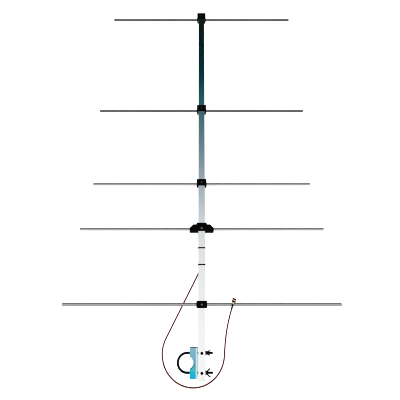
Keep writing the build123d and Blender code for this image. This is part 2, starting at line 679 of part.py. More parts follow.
# Turned pieces of the plug, each a closed half-profile of (radius, distance along the axis)
turned = {
    "heat_shrink": [
        (JACKET_R + FIT, -PLUG_STRAIGHT),
        (3.05, -PLUG_STRAIGHT),
        (3.15, -4.0),
        (3.75, -2.2),
        (3.75, 0.4),
        (3.45, 0.4),
        (3.45, -1.4),
        (JACKET_R + FIT, -1.4),
    ],
    "crimp_ferrule": [(2.55, -1.3), (3.40, -1.3), (3.40, 5.0), (2.55, 5.0)],
    "plug_body": [
        (1.90, 1.0),
        (2.45, 1.0),
        (2.45, 5.1),
        (5.20, 5.1),
        (5.20, 7.2),
        (4.20, 7.2),
        (4.20, 9.8),
        (4.90, 9.8),
        (4.90, 10.8),
        (4.20, 10.8),
        (4.00, 20.4),
        (3.50, 20.4),
        (3.50, 10.0),
        (1.90, 10.0),
    ],
    "plug_coupling_ring": [
        (4.25, 7.3),
        (6.60, 7.3),
        (RING_R, 8.0),
        (RING_R, 12.3),
        (6.75, 12.7),
        (6.75, 16.6),
        (RING_R, 17.0),
        (RING_R, 21.3),
        (6.80, 22.0),
        (5.90, 22.0),
        (5.90, 9.6),
        (4.25, 9.6),
    ],
    "plug_insulator": [(0.80, 10.1), (3.45, 10.1), (3.45, 15.5), (0.80, 15.5)],
    "plug_centre_pin": [
        (CORE_R + LAYER_GAP, 5.0),
        (1.05, 5.0),
        (1.05, 9.9),
        (0.75, 9.9),
        (0.75, 19.2),
        (0.0, 20.0),
        (0.0, 8.0),
        (CORE_R + LAYER_GAP, 8.0),
    ],
}
for name, profile in turned.items():
    with BuildPart() as piece:
        with BuildSketch(Plane(origin=jacket_end, x_dir=(0, 0, 1), z_dir=plug_plane.x_dir.cross(plug_dir))):
            with BuildLine():
                Polyline(*profile, close=True)
            make_face()
        revolve(axis=turn_axis)
        if name == "plug_coupling_ring":
            for low, high in KNURL_BANDS:
                with BuildSketch(plug_plane.offset(low - KNURL_OVERRUN)):
                    with PolarLocations(RING_R, KNURL_COUNT):
                        Rectangle(KNURL_WIDTH, KNURL_WIDTH, rotation=45)
                extrude(amount=high - low + 2 * KNURL_OVERRUN, mode=Mode.SUBTRACT)
    save(piece, name)

# ---------------------------------------------------------------- mast clamp

# U-bolt: a half ring of rod and two straight legs that end in a thread
thread_length = THREAD_TURNS * THREAD_PITCH
thread_end_x = LEG_END_X - LEG_CHAMFER
thread_start_x = thread_end_x - thread_length
with BuildPart() as u_bolt:
    with BuildSketch(Plane.YZ.offset(BEND_X)):
        with Locations((LEG_Y, 0)):
            Circle(ROD_R)
    revolve(axis=Axis((BEND_X, 0, 0), (0, 0, 1)), revolution_arc=180)
    for side in (-1, 1):
        with BuildSketch(Plane.XY):
            with BuildLine():
                crests = [(BEND_X, side * LEG_Y), (BEND_X, side * (LEG_Y + ROD_R))]
                for turn in range(THREAD_TURNS):
                    crest_x = thread_start_x + turn * THREAD_PITCH
                    crests.append((crest_x, side * (LEG_Y + ROD_R)))
                    crests.append((crest_x + THREAD_PITCH / 2, side * (LEG_Y + ROD_R - THREAD_DEPTH)))
                crests.append((thread_end_x, side * (LEG_Y + ROD_R)))
                crests.append((LEG_END_X, side * (LEG_Y + ROD_R - LEG_CHAMFER)))
                crests.append((LEG_END_X, side * LEG_Y))
                Polyline(*crests, close=True)
            make_face()
        revolve(axis=Axis((BEND_X, side * LEG_Y, 0), (1, 0, 0)))
save(u_bolt, "u_bolt")

# Saddle: a channel bent from sheet metal, its two flanges cut out to seat the mast
saddle_back_x = boom_left - SADDLE_GAP
saddle_front_x = saddle_back_x - SADDLE_DEPTH
with BuildPart() as mast_saddle:
    with BuildSketch(Plane.XZ.offset(-SADDLE_LENGTH / 2)):
        with BuildLine():
            half = SADDLE_HEIGHT / 2
            FilletPolyline(
                (saddle_front_x, half),
                (saddle_back_x, half),
                (saddle_back_x, -half),
                (saddle_front_x, -half),
                radius=SADDLE_BEND_R,
            )
            Line((saddle_front_x, -half), (saddle_front_x, -half + SADDLE_WALL))
            FilletPolyline(
                (saddle_front_x, -half + SADDLE_WALL),
                (saddle_back_x - SADDLE_WALL, -half + SADDLE_WALL),
                (saddle_back_x - SADDLE_WALL, half - SADDLE_WALL),
                (saddle_front_x, half - SADDLE_WALL),
                radius=SADDLE_BEND_R - SADDLE_WALL,
            )
            Line((saddle_front_x, half - SADDLE_WALL), (saddle_front_x, half))
        make_face()
    extrude(amount=SADDLE_LENGTH)
    with BuildSketch(Plane.XY.offset(-SADDLE_HEIGHT)):
        Circle(MAST_R)
    extrude(amount=2 * SADDLE_HEIGHT, mode=Mode.SUBTRACT)
    # Round the flanges' corners: first the mouth of the seat, then the free ends
    for radius, nearest, farthest in (
        (SADDLE_MOUTH_R, 0, MAST_R),
        (SADDLE_CORNER_R, MAST_R, SADDLE_LENGTH),
    ):
        front_uprights = mast_saddle.edges().filter_by(Axis.Z).filter_by_position(
            Axis.X, saddle_front_x - FIT, saddle_front_x + FIT
        )
        fillet([e for e in front_uprights if nearest < abs(e.center().Y) < farthest], radius)
    with BuildSketch(Plane.YZ.offset(saddle_back_x - 2 * SADDLE_WALL)):
        with Locations((-LEG_Y, 0), (LEG_Y, 0)):
            Circle(LEG_HOLE_R)
    extrude(amount=3 * SADDLE_WALL, mode=Mode.SUBTRACT)
save(mast_saddle, "mast_saddle")

washer_x = boom_right + FIT
with BuildPart() as washers:
    with BuildSketch(Plane.YZ.offset(washer_x)):
        with Locations((-LEG_Y, 0), (LEG_Y, 0)):
            Circle(WASHER_R)
            Circle(ROD_R + LOOSE, mode=Mode.SUBTRACT)
    extrude(amount=WASHER_THICKNESS)
save(washers, "washers")

# Wing nuts. The wings of the lower one lie level, those of the upper one are turned.
nut_x = washer_x + WASHER_THICKNESS + FIT
for name, y, turn in (("upper", LEG_Y, UPPER_WINGS_TURN), ("lower", -LEG_Y, 0.0)):
    with BuildPart() as wing_nut:
        with BuildSketch(Plane.YZ.offset(nut_x)):
            with Locations((y, 0)):
                Circle(NUT_BASE_R)
        with BuildSketch(Plane.YZ.offset(nut_x + NUT_HEIGHT)):
            with Locations((y, 0)):
                Circle(NUT_TOP_R)
        loft()
        fillet(wing_nut.edges().filter_by(GeomType.CIRCLE), EDGE_R)
        wing_normal = (0, -sin(radians(turn)), cos(radians(turn)))
        wing_plane = Plane(origin=(nut_x, y, 0), x_dir=(1, 0, 0), z_dir=wing_normal)
        for side in (-1, 1):
            with BuildSketch(wing_plane) as wing:
                with BuildLine():
                    Polyline(*[(along, side * out) for along, out in WING_OUTLINE], close=True)
                make_face()
                fillet(wing.vertices().sort_by_distance((0, 0, 0))[2:], WING_TIP_R)
            extrude(amount=WING_THICKNESS / 2, both=True)
        with BuildSketch(Plane.YZ.offset(nut_x - 1)):
            with Locations((y, 0)):
                Circle(ROD_R + FIT)
        extrude(amount=NUT_HEIGHT + 2, mode=Mode.SUBTRACT)
    save(wing_nut, f"{name}_wing_nut")
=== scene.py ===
"""Looks for the yagi antenna: materials, smooth detail pieces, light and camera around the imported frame."""

import bpy
import json
from math import cos, pi, radians, sin
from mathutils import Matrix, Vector, noise

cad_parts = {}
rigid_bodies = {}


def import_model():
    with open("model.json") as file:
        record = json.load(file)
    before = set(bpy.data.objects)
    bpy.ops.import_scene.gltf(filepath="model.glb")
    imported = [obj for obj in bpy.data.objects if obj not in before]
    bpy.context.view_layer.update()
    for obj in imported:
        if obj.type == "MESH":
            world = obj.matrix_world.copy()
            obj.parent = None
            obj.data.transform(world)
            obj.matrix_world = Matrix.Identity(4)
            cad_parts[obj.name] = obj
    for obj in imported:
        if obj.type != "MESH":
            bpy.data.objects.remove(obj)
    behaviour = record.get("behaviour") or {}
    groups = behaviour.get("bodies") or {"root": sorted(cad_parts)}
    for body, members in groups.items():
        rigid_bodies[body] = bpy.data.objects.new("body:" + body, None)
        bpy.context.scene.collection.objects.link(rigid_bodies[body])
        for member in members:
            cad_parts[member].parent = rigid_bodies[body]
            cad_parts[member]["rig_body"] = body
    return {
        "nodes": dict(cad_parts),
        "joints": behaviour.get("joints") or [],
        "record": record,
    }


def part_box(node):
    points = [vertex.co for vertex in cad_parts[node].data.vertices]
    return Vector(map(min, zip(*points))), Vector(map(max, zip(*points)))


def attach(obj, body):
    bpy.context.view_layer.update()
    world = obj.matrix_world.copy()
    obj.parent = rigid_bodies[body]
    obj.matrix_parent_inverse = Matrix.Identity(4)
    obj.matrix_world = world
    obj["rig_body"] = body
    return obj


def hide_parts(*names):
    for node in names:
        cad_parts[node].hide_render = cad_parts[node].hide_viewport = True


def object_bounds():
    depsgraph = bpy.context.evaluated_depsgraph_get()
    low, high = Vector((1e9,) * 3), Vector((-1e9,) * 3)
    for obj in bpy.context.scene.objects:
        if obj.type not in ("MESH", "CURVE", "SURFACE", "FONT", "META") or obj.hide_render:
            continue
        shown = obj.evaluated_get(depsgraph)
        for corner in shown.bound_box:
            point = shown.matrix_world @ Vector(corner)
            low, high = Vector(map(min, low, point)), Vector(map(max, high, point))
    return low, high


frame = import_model()
cad_low, cad_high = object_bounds()
nodes = frame["nodes"]


# ---------------------------------------------------------------- node helpers


class Nodes:
    """A node tree, with short ways to add and join its nodes."""

    def __init__(self, owner):
        owner.use_nodes = True
        self.tree = owner.node_tree
        self.tree.nodes.clear()

    def add(self, kind):
        return self.tree.nodes.new(kind)

    def join(self, source, target):
        self.tree.links.new(source, target)

    def feed(self, value, socket):
        """Joins an output to a socket, or sets the socket to a plain value."""
        if isinstance(value, bpy.types.NodeSocket):
            self.join(value, socket)
        else:
            socket.default_value = value

    def ramp(self, fac, stops):
        """A colour ramp; each stop is (position, colour)."""
        node = self.add("ShaderNodeValToRGB")
        elements = node.color_ramp.elements
        while len(elements) < len(stops):
            elements.new(1.0)
        for element, (position, color) in zip(elements, stops):
            element.position = position
            element.color = (*color, 1.0)
        self.join(fac, node.inputs["Fac"])
        return node.outputs["Color"]

    def spread(self, fac, low, high, at_low, at_high):
        """fac's range low to high, mapped to at_low to at_high."""
        node = self.add("ShaderNodeMapRange")
        self.join(fac, node.inputs["Value"])
        sockets = ("From Min", "From Max", "To Min", "To Max")
        for socket, value in zip(sockets, (low, high, at_low, at_high)):
            node.inputs[socket].default_value = value
        return node.outputs["Result"]

    def rise(self, fac, low, high):
        """0 below low, 1 above high."""
        return self.spread(fac, low, high, 0.0, 1.0)

    def fall(self, fac, low, high):
        """1 below low, 0 above high."""
        return self.spread(fac, low, high, 1.0, 0.0)

    def sum(self, a, b):
        return self.math("ADD", a, b)

    def product(self, a, b):
        return self.math("MULTIPLY", a, b)

    def math(self, operation, a, b=0.0):
        node = self.add("ShaderNodeMath")
        node.operation = operation
        self.feed(a, node.inputs[0])
        self.feed(b, node.inputs[1])
        return node.outputs[0]

    def part(self, vector, letter):
        """A vector's X, Y or Z."""
        split = self.add("ShaderNodeSeparateXYZ")
        self.join(vector, split.inputs[0])
        return split.outputs[letter]

    def mix(self, fac, a, b, blend="MIX"):
        node = self.add("ShaderNodeMix")
        node.data_type = "RGBA"
        node.blend_type = blend
        self.feed(fac, node.inputs[0])
        self.feed(a, node.inputs[6])
        self.feed(b, node.inputs[7])
        return node.outputs[2]


class Graph(Nodes):
    """A material's node tree with one Principled shader."""

    def __init__(self, name):
        self.material = bpy.data.materials.new(name)
        super().__init__(self.material)
        self.shader = self.add("ShaderNodeBsdfPrincipled")
        self.join(self.shader.outputs["BSDF"], self.add("ShaderNodeOutputMaterial").inputs["Surface"])
        self.place = self.add("ShaderNodeTexCoord").outputs["Object"]

    def stretch(self, scale):
        """The object's coordinates, scaled by one factor per axis."""
        mapping = self.add("ShaderNodeMapping")
        mapping.inputs["Scale"].default_value = scale
        self.join(self.place, mapping.inputs["Vector"])
        return mapping.outputs["Vector"]

    def noise(self, scale, detail=3.0, roughness=0.55, place=None):
        texture = self.add("ShaderNodeTexNoise")
        self.join(place or self.place, texture.inputs["Vector"])
        texture.inputs["Scale"].default_value = scale
        texture.inputs["Detail"].default_value = detail
        texture.inputs["Roughness"].default_value = roughness
        return texture.outputs["Fac"]

    def axis(self, letter):
        return self.part(self.place, letter)

    def crevice(self, distance):
        """1 in the open and towards 0 in grooves and corners."""
        node = self.add("ShaderNodeAmbientOcclusion")
        node.inputs["Distance"].default_value = distance
        node.samples = 6
        node.only_local = True
        return node.outputs["AO"]

    def surface(self, color, roughness, metallic=0.0, **others):
        for socket, value in (("Base Color", color), ("Roughness", roughness), ("Metallic", metallic)):
            if isinstance(value, tuple) and len(value) == 3:
                value = (*value, 1.0)
            self.feed(value, self.shader.inputs[socket])
        for socket, value in others.items():
            self.feed(value, self.shader.inputs[socket.replace("_", " ")])

    def painted_falloff(self, tint, color, fade):
        """The tint, with painted shade darkening it to a share of color along Y; fade is (start, end, share).
        """
        start, end, share = fade
        return self.mix(self.rise(self.axis("Y"), start, end), tint, (*darker(color, share), 1.0))

    def bump(self, height, depth, strength=1.0, edge_radius=0.0):
        """Bump from height, over edges rounded by edge_radius metres."""
        node = self.add("ShaderNodeBump")
        node.inputs["Strength"].default_value = strength
        node.inputs["Distance"].default_value = depth
        self.join(height, node.inputs["Height"])
        if edge_radius:
            bevel = self.add("ShaderNodeBevel")
            bevel.samples = 4
            bevel.inputs["Radius"].default_value = edge_radius
            self.join(bevel.outputs["Normal"], node.inputs["Normal"])
        self.join(node.outputs["Normal"], self.shader.inputs["Normal"])


# ---------------------------------------------------------------- materials


def darker(color, share):
    return tuple(channel * share for channel in color)


def drawn_aluminium(name, along, color, roughness, fade=None):
    """Drawn or extruded aluminium: fine lines along one axis, cloudy oxide and a few scuffs.

    Fade is (start, end, share): painted shade darkens the metal to that share between two places along Y.
    """
    g = Graph(name)
    stretch = tuple(12.0 if letter == along else 2600.0 for letter in "XYZ")
    lines = g.noise(1.0, detail=4.0, place=g.stretch(stretch))
    clouds = g.noise(28.0, detail=4.0)
    scuffs = g.rise(g.noise(170.0, detail=6.0, roughness=0.7), 0.64, 0.76)
    tint = g.ramp(clouds, [(0.3, darker(color, 0.97)), (0.7, color)])
    tint = g.mix(g.product(scuffs, 0.12), tint, (*darker(color, 0.8), 1.0))
    # Painted shade: the colour darkens along Y to the fade's share.
    if fade:
        tint = g.painted_falloff(tint, color, fade)
    streaks = g.spread(lines, 0.3, 0.7, roughness - 0.03, roughness + 0.04)
    g.surface(tint, g.sum(streaks, g.product(scuffs, 0.05)), metallic=1.0)
    g.bump(lines, 0.00001, strength=0.25, edge_radius=0.0003)
    return g.material


def moulded_plastic(name, color, roughness, grain=1900.0, edge_radius=0.0003, sheen=0.35):
    """Moulded plastic: fine spark-eroded grain, uneven sheen and dust in the corners."""
    g = Graph(name)
    fine = g.noise(grain, detail=2.0)
    patches = g.noise(45.0, detail=4.0)
    dust = g.fall(g.crevice(0.004), 0.35, 0.95)
    paler = tuple(min(1.0, c * 1.35 + 0.001) for c in color)
    tint = g.ramp(patches, [(0.35, color), (0.75, paler)])
    dusty = tuple(min(1.0, c + 0.01) for c in color)
    tint = g.mix(g.product(dust, 0.10), tint, (*dusty, 1.0))
    rough = g.spread(patches, 0.3, 0.7, roughness - 0.06, roughness + 0.08)
    g.surface(tint, rough, Specular_IOR_Level=sheen)
    g.bump(fine, 0.00003, strength=0.5, edge_radius=edge_radius)
    return g.material


def turned_metal(name, color, roughness, groove_color=None, edge_radius=0.00015, fade=None):
    """Plated or stainless metal: fine tool marks, painted shade where it is grooved, and painted shade along
    Y as for aluminium.
    """
    g = Graph(name)
    marks = g.noise(900.0, detail=3.0)
    patches = g.noise(120.0, detail=3.0)
    tint = g.ramp(patches, [(0.3, darker(color, 0.88)), (0.7, color)])
    # Painted shade: grooves and corners darken towards the groove colour.
    if groove_color:
        groove_shade = g.fall(g.crevice(0.0012), 0.55, 0.98)
        tint = g.mix(groove_shade, tint, (*groove_color, 1.0))
    # Painted shade: the colour darkens along Y to the fade's share.
    if fade:
        tint = g.painted_falloff(tint, color, fade)
    g.surface(tint, g.spread(marks, 0.3, 0.7, roughness - 0.05, roughness + 0.1), metallic=1.0)
    g.bump(marks, 0.00001, strength=0.3, edge_radius=edge_radius)
    return g.material


def ring_joint():
    """The joint of the plug's coupling ring, on the plug's axis."""
    return next(joint for joint in frame["joints"] if joint["name"] == "plug_coupling_ring_spin")


# The coupling ring's two knurled bands: where they start and end, in metres from the ring's middle
KNURL_START = 0.00215
KNURL_END = 0.00685
KNURL_BLEND = 0.00025


def knurled_gold(name, color, knurl_shade):
    """Gold plate on the coupling ring, with painted shade in the two knurled bands and its grooves."""
    low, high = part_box("plug_coupling_ring")
    g = Graph(name)
    marks = g.noise(900.0, detail=3.0)
    axis = Vector(ring_joint()["axis"]).normalized()
    along = g.add("ShaderNodeVectorMath")
    along.operation = "DOT_PRODUCT"
    g.join(g.place, along.inputs[0])
    along.inputs[1].default_value = axis
    middle = (low + high) / 2 @ axis
    off_middle = g.math("ABSOLUTE", g.math("SUBTRACT", along.outputs["Value"], middle))
    inner_edge = g.rise(off_middle, KNURL_START - KNURL_BLEND, KNURL_START + KNURL_BLEND)
    outer_edge = g.fall(off_middle, KNURL_END - KNURL_BLEND, KNURL_END + KNURL_BLEND)
    # Painted shade: the two knurled bands and the ring's grooves darken towards the darker colour.
    band = g.product(g.product(inner_edge, outer_edge), 0.97)
    groove_shade = g.math("MAXIMUM", band, g.spread(g.crevice(0.0008), 0.55, 0.95, 0.8, 0.0))
    tint = g.mix(groove_shade, (*color, 1.0), (*knurl_shade, 1.0))
    g.surface(tint, g.spread(marks, 0.3, 0.7, 0.2, 0.34), metallic=1.0)
    g.bump(marks, 0.00001, strength=0.3, edge_radius=0.00008)
    return g.material


def black_coated_steel(name):
    """Black-coated steel hardware: satin, uneven, a little browner where the coat is thin."""
    g = Graph(name)
    fine = g.noise(1500.0, detail=3.0)
    patches = g.noise(60.0, detail=5.0)
    tint = g.ramp(patches, [(0.35, (0.0015, 0.0015, 0.0018)), (0.75, (0.005, 0.0048, 0.005))])
    g.surface(tint, g.spread(patches, 0.3, 0.7, 0.36, 0.5), Specular_IOR_Level=0.05)
    g.bump(fine, 0.00002, strength=0.4, edge_radius=0.0002)
    return g.material


def blue_zinc(name):
    """Zinc plate under a blue film: steel blue to cyan along the saddle, a painted highlight on its bend,
    painted shade inside.
    """
    low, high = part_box("mast_saddle")
    g = Graph(name)
    clouds = g.noise(55.0, detail=4.0)
    along = g.rise(g.axis("Y"), low.y, high.y)
    drift = g.sum(along, g.spread(clouds, 0.3, 0.7, -0.05, 0.05))
    film_and_painted_light = g.ramp(
        drift,
        [
            (0.0, (0.015, 0.46, 0.80)),
            (0.22, (0.004, 0.54, 0.69)),
            (0.32, (0.08, 0.54, 0.66)),
            (0.42, (0.09, 0.37, 0.52)),
            (0.62, (0.22, 0.45, 0.70)),
            (0.85, (0.20, 0.52, 0.64)),
            (1.0, (0.25, 0.55, 0.60)),
        ],
    )
    facing_x = g.part(g.add("ShaderNodeNewGeometry").outputs["Normal"], "X")
    # Painted highlight: faces turned towards +X, on the bend, are painted pale.
    bend = g.spread(facing_x, 0.01, 0.28, 0.0, 0.92)
    film_and_painted_light = g.mix(bend, film_and_painted_light, (0.74, 0.97, 1.0, 1.0))
    ends = g.spread(g.math("ABSOLUTE", g.math("SUBTRACT", along, 0.5)), 0.482, 0.497, 0.0, 0.3)
    film_and_painted_light = g.mix(ends, film_and_painted_light, (0.05, 0.14, 0.20, 1.0))
    # Painted shade: deep corners inside the channel darken.
    inner_shade = g.spread(g.crevice(0.03), 0.15, 0.75, 0.85, 0.0)
    film_and_painted_light = g.mix(inner_shade, film_and_painted_light, (0.03, 0.08, 0.11, 1.0))
    sheet_marks = g.noise(1.0, detail=3.0, place=g.stretch((900.0, 60.0, 900.0)))
    shine = g.spread(facing_x, 0.15, 0.65, 0.9, 0.15)
    g.surface(film_and_painted_light, g.spread(clouds, 0.3, 0.7, 0.24, 0.36), metallic=shine)
    g.bump(sheet_marks, 0.00002, strength=0.25, edge_radius=0.0003)
    return g.material


def cable_jacket_look(name):
    """Thin red-brown jacket: the braid's weave shows faintly through it."""
    g = Graph(name)
    weave = g.noise(2200.0, detail=1.0)
    patches = g.noise(30.0, detail=3.0)
    tint = g.ramp(patches, [(0.3, (0.080, 0.003, 0.002)), (0.7, (0.130, 0.007, 0.005))])
    tint = g.mix(g.spread(weave, 0.4, 0.7, 0.0, 0.3), tint, (0.17, 0.018, 0.011, 1.0))
    g.surface(tint, g.spread(patches, 0.3, 0.7, 0.38, 0.5), Specular_IOR_Level=0.06)
    g.bump(weave, 0.00002, strength=0.3)
    return g.material


BLACK = (0.0009, 0.0009, 0.0010)
aluminium_boom = drawn_aluminium("aluminium_boom", "Y", (0.93, 0.94, 0.94), 0.11)
# The elements' fade is painted shade: darker towards the far end of the boom.
aluminium_element = drawn_aluminium(
    "aluminium_element", "X", (0.62, 0.63, 0.62), 0.52, fade=(0.66, 0.99, 0.45)
)
black_plastic = moulded_plastic("black_plastic", BLACK, 0.52, sheen=0.02)
black_nylon = moulded_plastic("black_nylon", BLACK, 0.42, grain=900.0, sheen=0.02)
grey_plastic = moulded_plastic("grey_plastic", (0.40, 0.41, 0.42), 0.45)
light_grey_plastic = moulded_plastic("light_grey_plastic", (0.63, 0.635, 0.63), 0.45)
pale_plastic = moulded_plastic("pale_plastic", (0.74, 0.74, 0.72), 0.45)
black_rubber = moulded_plastic("black_rubber", (0.003, 0.003, 0.003), 0.62, grain=1200.0, sheen=0.05)
white_polymer = moulded_plastic("white_polymer", (0.82, 0.82, 0.80), 0.35)
# The screws' fade is painted shade: nearly black towards the far end of the boom.
dark_steel = turned_metal(
    "dark_steel", (0.18, 0.18, 0.175), 0.15, groove_color=(0.02, 0.02, 0.02), fade=(0.50, 0.66, 0.12)
)
gold = turned_metal("gold", (0.90, 0.58, 0.28), 0.22, groove_color=(0.10, 0.035, 0.012))
# The ring's second colour is painted shade for its knurled bands.
ring_gold = knurled_gold("ring_gold", (0.90, 0.54, 0.28), (0.030, 0.008, 0.0025))
nickel = turned_metal("nickel", (0.72, 0.71, 0.66), 0.22)
silvered = turned_metal("silvered", (0.80, 0.79, 0.76), 0.3)
copper = turned_metal("copper", (0.78, 0.42, 0.26), 0.25)
coated_steel = black_coated_steel("coated_steel")
saddle_zinc = blue_zinc("saddle_zinc")
jacket = cable_jacket_look("jacket")

# Material of each of the record's slots
FINISHES = {
    "boom": aluminium_boom,
    "boom_cap": light_grey_plastic,
    "element": aluminium_element,
    "end_plug": grey_plastic,
    "holder": black_plastic,
    "sleeve": pale_plastic,
    "screw": dark_steel,
    "housing": black_plastic,
    "seal": black_rubber,
    "lug": silvered,
    "lead_black": black_nylon,
    "lead_white": white_polymer,
    "cable_jacket": jacket,
    "cable_braid": silvered,
    "cable_dielectric": white_polymer,
    "cable_core": copper,
    "cable_tie": black_nylon,
    "heat_shrink": black_rubber,
    "ferrule": nickel,
    "plug": gold,
    "plug_insulator": white_polymer,
    "u_bolt": coated_steel,
    "washer": coated_steel,
    "saddle": saddle_zinc,
}

for subpart in frame["record"]["subparts"]:
    node = nodes[subpart["node"]]
    node.data.materials.clear()
    node.data.materials.append(FINISHES[subpart["material_slot"]])
nodes["plug_coupling_ring"].data.materials[0] = ring_gold

# ---------------------------------------------------------------- mesh pieces

MM = 0.001
UP = Vector((0, 0, 1))


def circle(centre, across, up, radii):
    """Points round centre, from the direction across towards up, one for each radius."""
    step = 2 * pi / len(radii)
    return [centre + (across * cos(i * step) + up * sin(i * step)) * r for i, r in enumerate(radii)]


def skin(rings, closed=False):
    """Vertices and faces that join rings of points; the ends are filled unless the rings close up."""
    count = len(rings[0])
    points = [point for ring in rings for point in ring]
    faces = []
    for i in range(len(rings) if closed else len(rings) - 1):
        here, there = i * count, (i + 1) % len(rings) * count
        for j in range(count):
            k = (j + 1) % count
            faces.append((here + j, here + k, there + k, there + j))
    if not closed:
        faces.append(tuple(reversed(range(count))))
        faces.append(tuple(range(len(points) - count, len(points))))
    return points, faces


def lathe(profile, origin, axis, across, segments):
    """A ring-shaped body: a closed profile of (distance along the axis, radius), turned about it."""
    up = axis.cross(across)
    return skin([circle(origin + axis * x, across, up, [r] * segments) for x, r in profile], closed=True)


def cut_corners(outline, rounds):
    """A smooth closed outline, by cutting every corner several times."""
    for _ in range(rounds):
        following = outline[1:] + outline[:1]
        outline = [a.lerp(b, share) for a, b in zip(outline, following) for share in (0.25, 0.75)]
    return outline


def merged(parts):
    """Several (points, faces) pairs as one."""
    points, faces = [], []
    for part_points, part_faces in parts:
        start = len(points)
        points += part_points
        faces += [tuple(start + i for i in face) for face in part_faces]
    return points, faces


def add_piece(name, shape, node, sharp_angle=35.0, voxel=0.0, smoothing=0):
    """A mesh piece that stands for a CAD node, on its body and with its material.

    With a voxel size its parts are fused like a casting, and smoothed.
    """
    mesh = bpy.data.meshes.new(name)
    points, faces = shape
    mesh.from_pydata(points, [], faces)
    mesh.validate()
    piece = bpy.data.objects.new(name, mesh)
    bpy.context.scene.collection.objects.link(piece)
    if voxel:
        fuse = piece.modifiers.new("fuse", "REMESH")
        fuse.mode = "VOXEL"
        fuse.voxel_size = voxel
        relax = piece.modifiers.new("relax", "SMOOTH")
        relax.factor = 0.5
        relax.iterations = smoothing
        fused = bpy.data.meshes.new_from_object(piece.evaluated_get(bpy.context.evaluated_depsgraph_get()))
        piece.modifiers.clear()
        piece.data = fused
        mesh = fused
    mesh.polygons.foreach_set("use_smooth", [True] * len(mesh.polygons))
    mesh.set_sharp_from_angle(angle=radians(sharp_angle))
    mesh.materials.clear()
    mesh.materials.append(nodes[node].data.materials[0])
    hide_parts(node)
    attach(piece, nodes[node]["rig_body"])
    return piece


# U-bolt: a half ring and two legs with a rolled right-hand thread
THREAD_PITCH = 1.25 * MM
THREAD_DEPTH = 0.55 * MM
THREAD_LENGTH = 40 * MM
TIP_CHAMFER = 1.0 * MM
GROOVE_STEEPNESS = 1.3
ROD_SEGMENTS = 40
RINGS_PER_TURN = 10
SHANK_RINGS = 8
BEND_RINGS = 72


def thread_radius(rod_r, from_tip, phase):
    """Radius of a threaded rod at a distance from its tip and a phase of the helix, in turns."""
    fade = min(1.0, max(0.0, (THREAD_LENGTH - from_tip) / THREAD_PITCH))
    groove = max(0.0, 1.0 - GROOVE_STEEPNESS * abs(2.0 * (phase % 1.0) - 1.0))
    chamfer = max(0.0, TIP_CHAMFER - from_tip)
    return min(rod_r - THREAD_DEPTH * groove * fade, rod_r - chamfer)


def leg_rings(rod_r, bend_x, tip_x, leg_y):
    """Rings of one leg, from its tip to the bend."""
    out = Vector((0, 1 if leg_y > 0 else -1, 0))
    length = tip_x - bend_x
    thread_rings = round(THREAD_LENGTH / THREAD_PITCH) * RINGS_PER_TURN
    stations = [i * THREAD_PITCH / RINGS_PER_TURN for i in range(thread_rings + 1)]
    stations += [THREAD_LENGTH + (length - THREAD_LENGTH) * i / SHANK_RINGS for i in range(1, SHANK_RINGS)]
    rings = []
    for from_tip in stations:
        turns = [(tip_x - from_tip) / THREAD_PITCH - out.y * j / ROD_SEGMENTS for j in range(ROD_SEGMENTS)]
        radii = [thread_radius(rod_r, from_tip, phase) for phase in turns]
        rings.append(circle(Vector((tip_x - from_tip, leg_y, 0)), out, UP, radii))
    return rings


def add_u_bolt():
    """The threaded rod in one piece: a leg, the half ring round the mast, and the other leg."""
    low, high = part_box("u_bolt")
    rod_r = (high.z - low.z) / 2
    leg_y = high.y - rod_r
    bend_x = low.x + leg_y + rod_r
    bend_centre = Vector((bend_x, 0, 0))
    rings = leg_rings(rod_r, bend_x, high.x, leg_y)
    for i in range(BEND_RINGS + 1):
        turn = pi / 2 + pi * i / BEND_RINGS
        out = Vector((cos(turn), sin(turn), 0))
        rings.append(circle(bend_centre + out * leg_y, out, UP, [rod_r] * ROD_SEGMENTS))
    rings += reversed(leg_rings(rod_r, bend_x, high.x, -leg_y))
    add_piece("threaded_u_bolt", skin(rings), "u_bolt")


# Wing nuts, cast: half-profile of the body as (along, radius), and one wing as (along, out)
NUT_PROFILE = [
    (0.2, 4.4), (0.2, 6.2), (0.5, 6.7), (1.4, 6.7), (2.4, 6.3),
    (8.0, 5.6), (8.4, 5.2), (8.4, 4.7), (8.0, 4.4),
]
NUT_SEGMENTS = 64
WING_OUTLINE = [
    (2.0, 5.0), (5.8, 9.2), (11.0, 13.6), (13.8, 14.9),
    (16.9, 13.4), (15.6, 10.7), (10.6, 7.4), (7.9, 5.0),
]
WING_ROUNDS = 3
# A wing's cross-section as (height, share of the outline), and the grain it is fused at
WING_LAYERS = [(-1.35, 0.80), (-1.0, 0.97), (0.0, 1.0), (1.0, 0.97), (1.35, 0.80)]
CAST_VOXEL = 0.28 * MM
CAST_SMOOTHING = 5
UPPER_WINGS_TURN = radians(48)


def add_wing_nut(node, leg_side, turn):
    """A nut on one leg, with its wings turned about the leg from the level."""
    low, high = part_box("u_bolt")
    leg_y = leg_side * (high.y - (high.z - low.z) / 2)
    along = Vector((1, 0, 0))
    origin = Vector((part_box(node)[0].x, leg_y, 0))
    across = Vector((0, cos(turn), sin(turn)))
    parts = [lathe([(x * MM, r * MM) for x, r in NUT_PROFILE], origin, along, across, NUT_SEGMENTS)]
    outline = cut_corners([Vector(point) * MM for point in WING_OUTLINE], WING_ROUNDS)
    middle = sum(outline, Vector((0, 0))) / len(outline)
    for side in (-1, 1):
        out = across * side
        normal = along.cross(out)
        rings = []
        for height, size in WING_LAYERS:
            flat = [middle + (point - middle) * size for point in outline]
            rings.append([origin + along * p.x + out * p.y + normal * height * MM for p in flat])
        parts.append(skin(rings))
    cast = {"voxel": CAST_VOXEL, "smoothing": CAST_SMOOTHING}
    add_piece(f"cast_{node}", merged(parts), node, sharp_angle=60.0, **cast)


